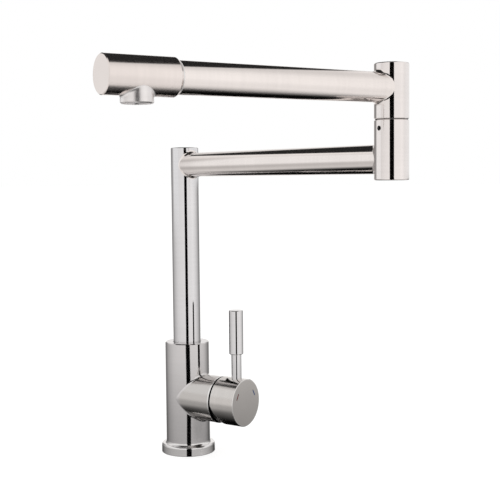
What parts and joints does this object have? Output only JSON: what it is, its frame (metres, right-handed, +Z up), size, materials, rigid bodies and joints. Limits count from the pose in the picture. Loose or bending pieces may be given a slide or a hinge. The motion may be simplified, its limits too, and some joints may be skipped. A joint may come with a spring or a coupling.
{
  "type": "kitchen mixer tap",
  "caption": "Single-lever deck mixer tap with an upright riser, a folding jointed spout and a side valve, in brushed stainless steel.",
  "frame": {"origin": "centre of the foot's underside, on the riser's axis", "axes": "+Z up along the riser, +X along the mixing valve towards its handle, -Y the front"},
  "size_m": [0.3188, 0.3472, 0.3701],
  "materials": {
    "brushed_body": "brushed stainless casting",
    "brushed_tube": "brushed stainless tube",
    "brushed_handle": "brushed stainless cap",
    "polished_lever": "finely polished stainless rod",
    "screw_steel": "plain steel",
    "turned_brass": "turned brass",
    "seal_rubber": "matt black",
    "glide_nylon": "dark nylon",
    "cartridge_plastic": "off-white acetal",
    "disc_ceramic": "lapped ceramic",
    "aerator_chrome": "bright chrome",
    "sieve_plastic": "grey plastic",
    "hot_enamel": "red enamel",
    "cold_enamel": "blue enamel"
  },
  "bodies": {
    "body": {"body_shell": "brushed_body", "base_gasket": "seal_rubber", "riser_bush": "glide_nylon", "riser_thrust_washer": "glide_nylon", "riser_retaining_screw": "screw_steel", "cartridge_housing": "cartridge_plastic", "cartridge_base": "cartridge_plastic", "port_seals": "seal_rubber", "fixed_disc": "disc_ceramic", "cartridge_nut": "turned_brass", "dome_ring": "brushed_body"},
    "riser": {"riser_spigot": "turned_brass", "riser_seals": "seal_rubber", "riser_tube": "brushed_tube", "riser_top_cap": "brushed_tube", "lower_arm_tube": "brushed_tube", "elbow_lower_sleeve": "brushed_tube", "elbow_bottom_cap": "brushed_tube", "elbow_grub_screw": "screw_steel", "elbow_glide_washer": "glide_nylon"},
    "upper_arm": {"elbow_upper_sleeve": "brushed_tube", "elbow_top_cap": "brushed_tube", "elbow_spigot": "turned_brass", "elbow_seals": "seal_rubber", "upper_arm_tube": "brushed_tube", "head_sleeve": "brushed_tube", "head_end_cap": "brushed_tube", "outlet_nozzle": "brushed_tube", "aerator_housing": "aerator_chrome", "aerator_sieve": "sieve_plastic", "aerator_seal": "seal_rubber"},
    "rotor": {"cartridge_rotor": "cartridge_plastic", "stem_pin": "screw_steel"},
    "disc": {"disc_carrier": "cartridge_plastic", "moving_disc": "disc_ceramic"},
    "handle": {"cartridge_stem": "turned_brass", "handle_cap": "brushed_handle", "hot_mark": "hot_enamel", "cold_mark": "cold_enamel", "handle_screw": "screw_steel", "lever_rod": "polished_lever", "lever_grip": "polished_lever"}
  },
  "joints": [
    {"name": "riser_swivel", "type": "hinge", "parent": "body", "child": "riser", "pos_m": [0, 0, 0.1], "axis": [0, 0, 1], "continuous": true},
    {"name": "elbow_swivel", "type": "hinge", "parent": "riser", "child": "upper_arm", "pos_m": [0.27753, -0.0875, 0.3258], "axis": [0, 0, 1], "continuous": true},
    {"name": "handle_turn", "type": "hinge", "parent": "body", "child": "rotor", "pos_m": [0.0452, 0, 0.058], "axis": [1, 0, 0], "range_deg": [-45, 45]},
    {"name": "handle_tilt", "type": "hinge", "parent": "rotor", "child": "handle", "pos_m": [0.0452, 0, 0.058], "axis": [0, 1, 0], "range_deg": [0, 20]},
    {"name": "disc_slide", "type": "slide", "parent": "rotor", "child": "disc", "axis": [0, 0, 1], "range_m": [0, 0.00537]}
  ],
  "couplings": [
    {"joint": "disc_slide", "follows": "handle_tilt", "m_per_rad": 0.015383}
  ]
}
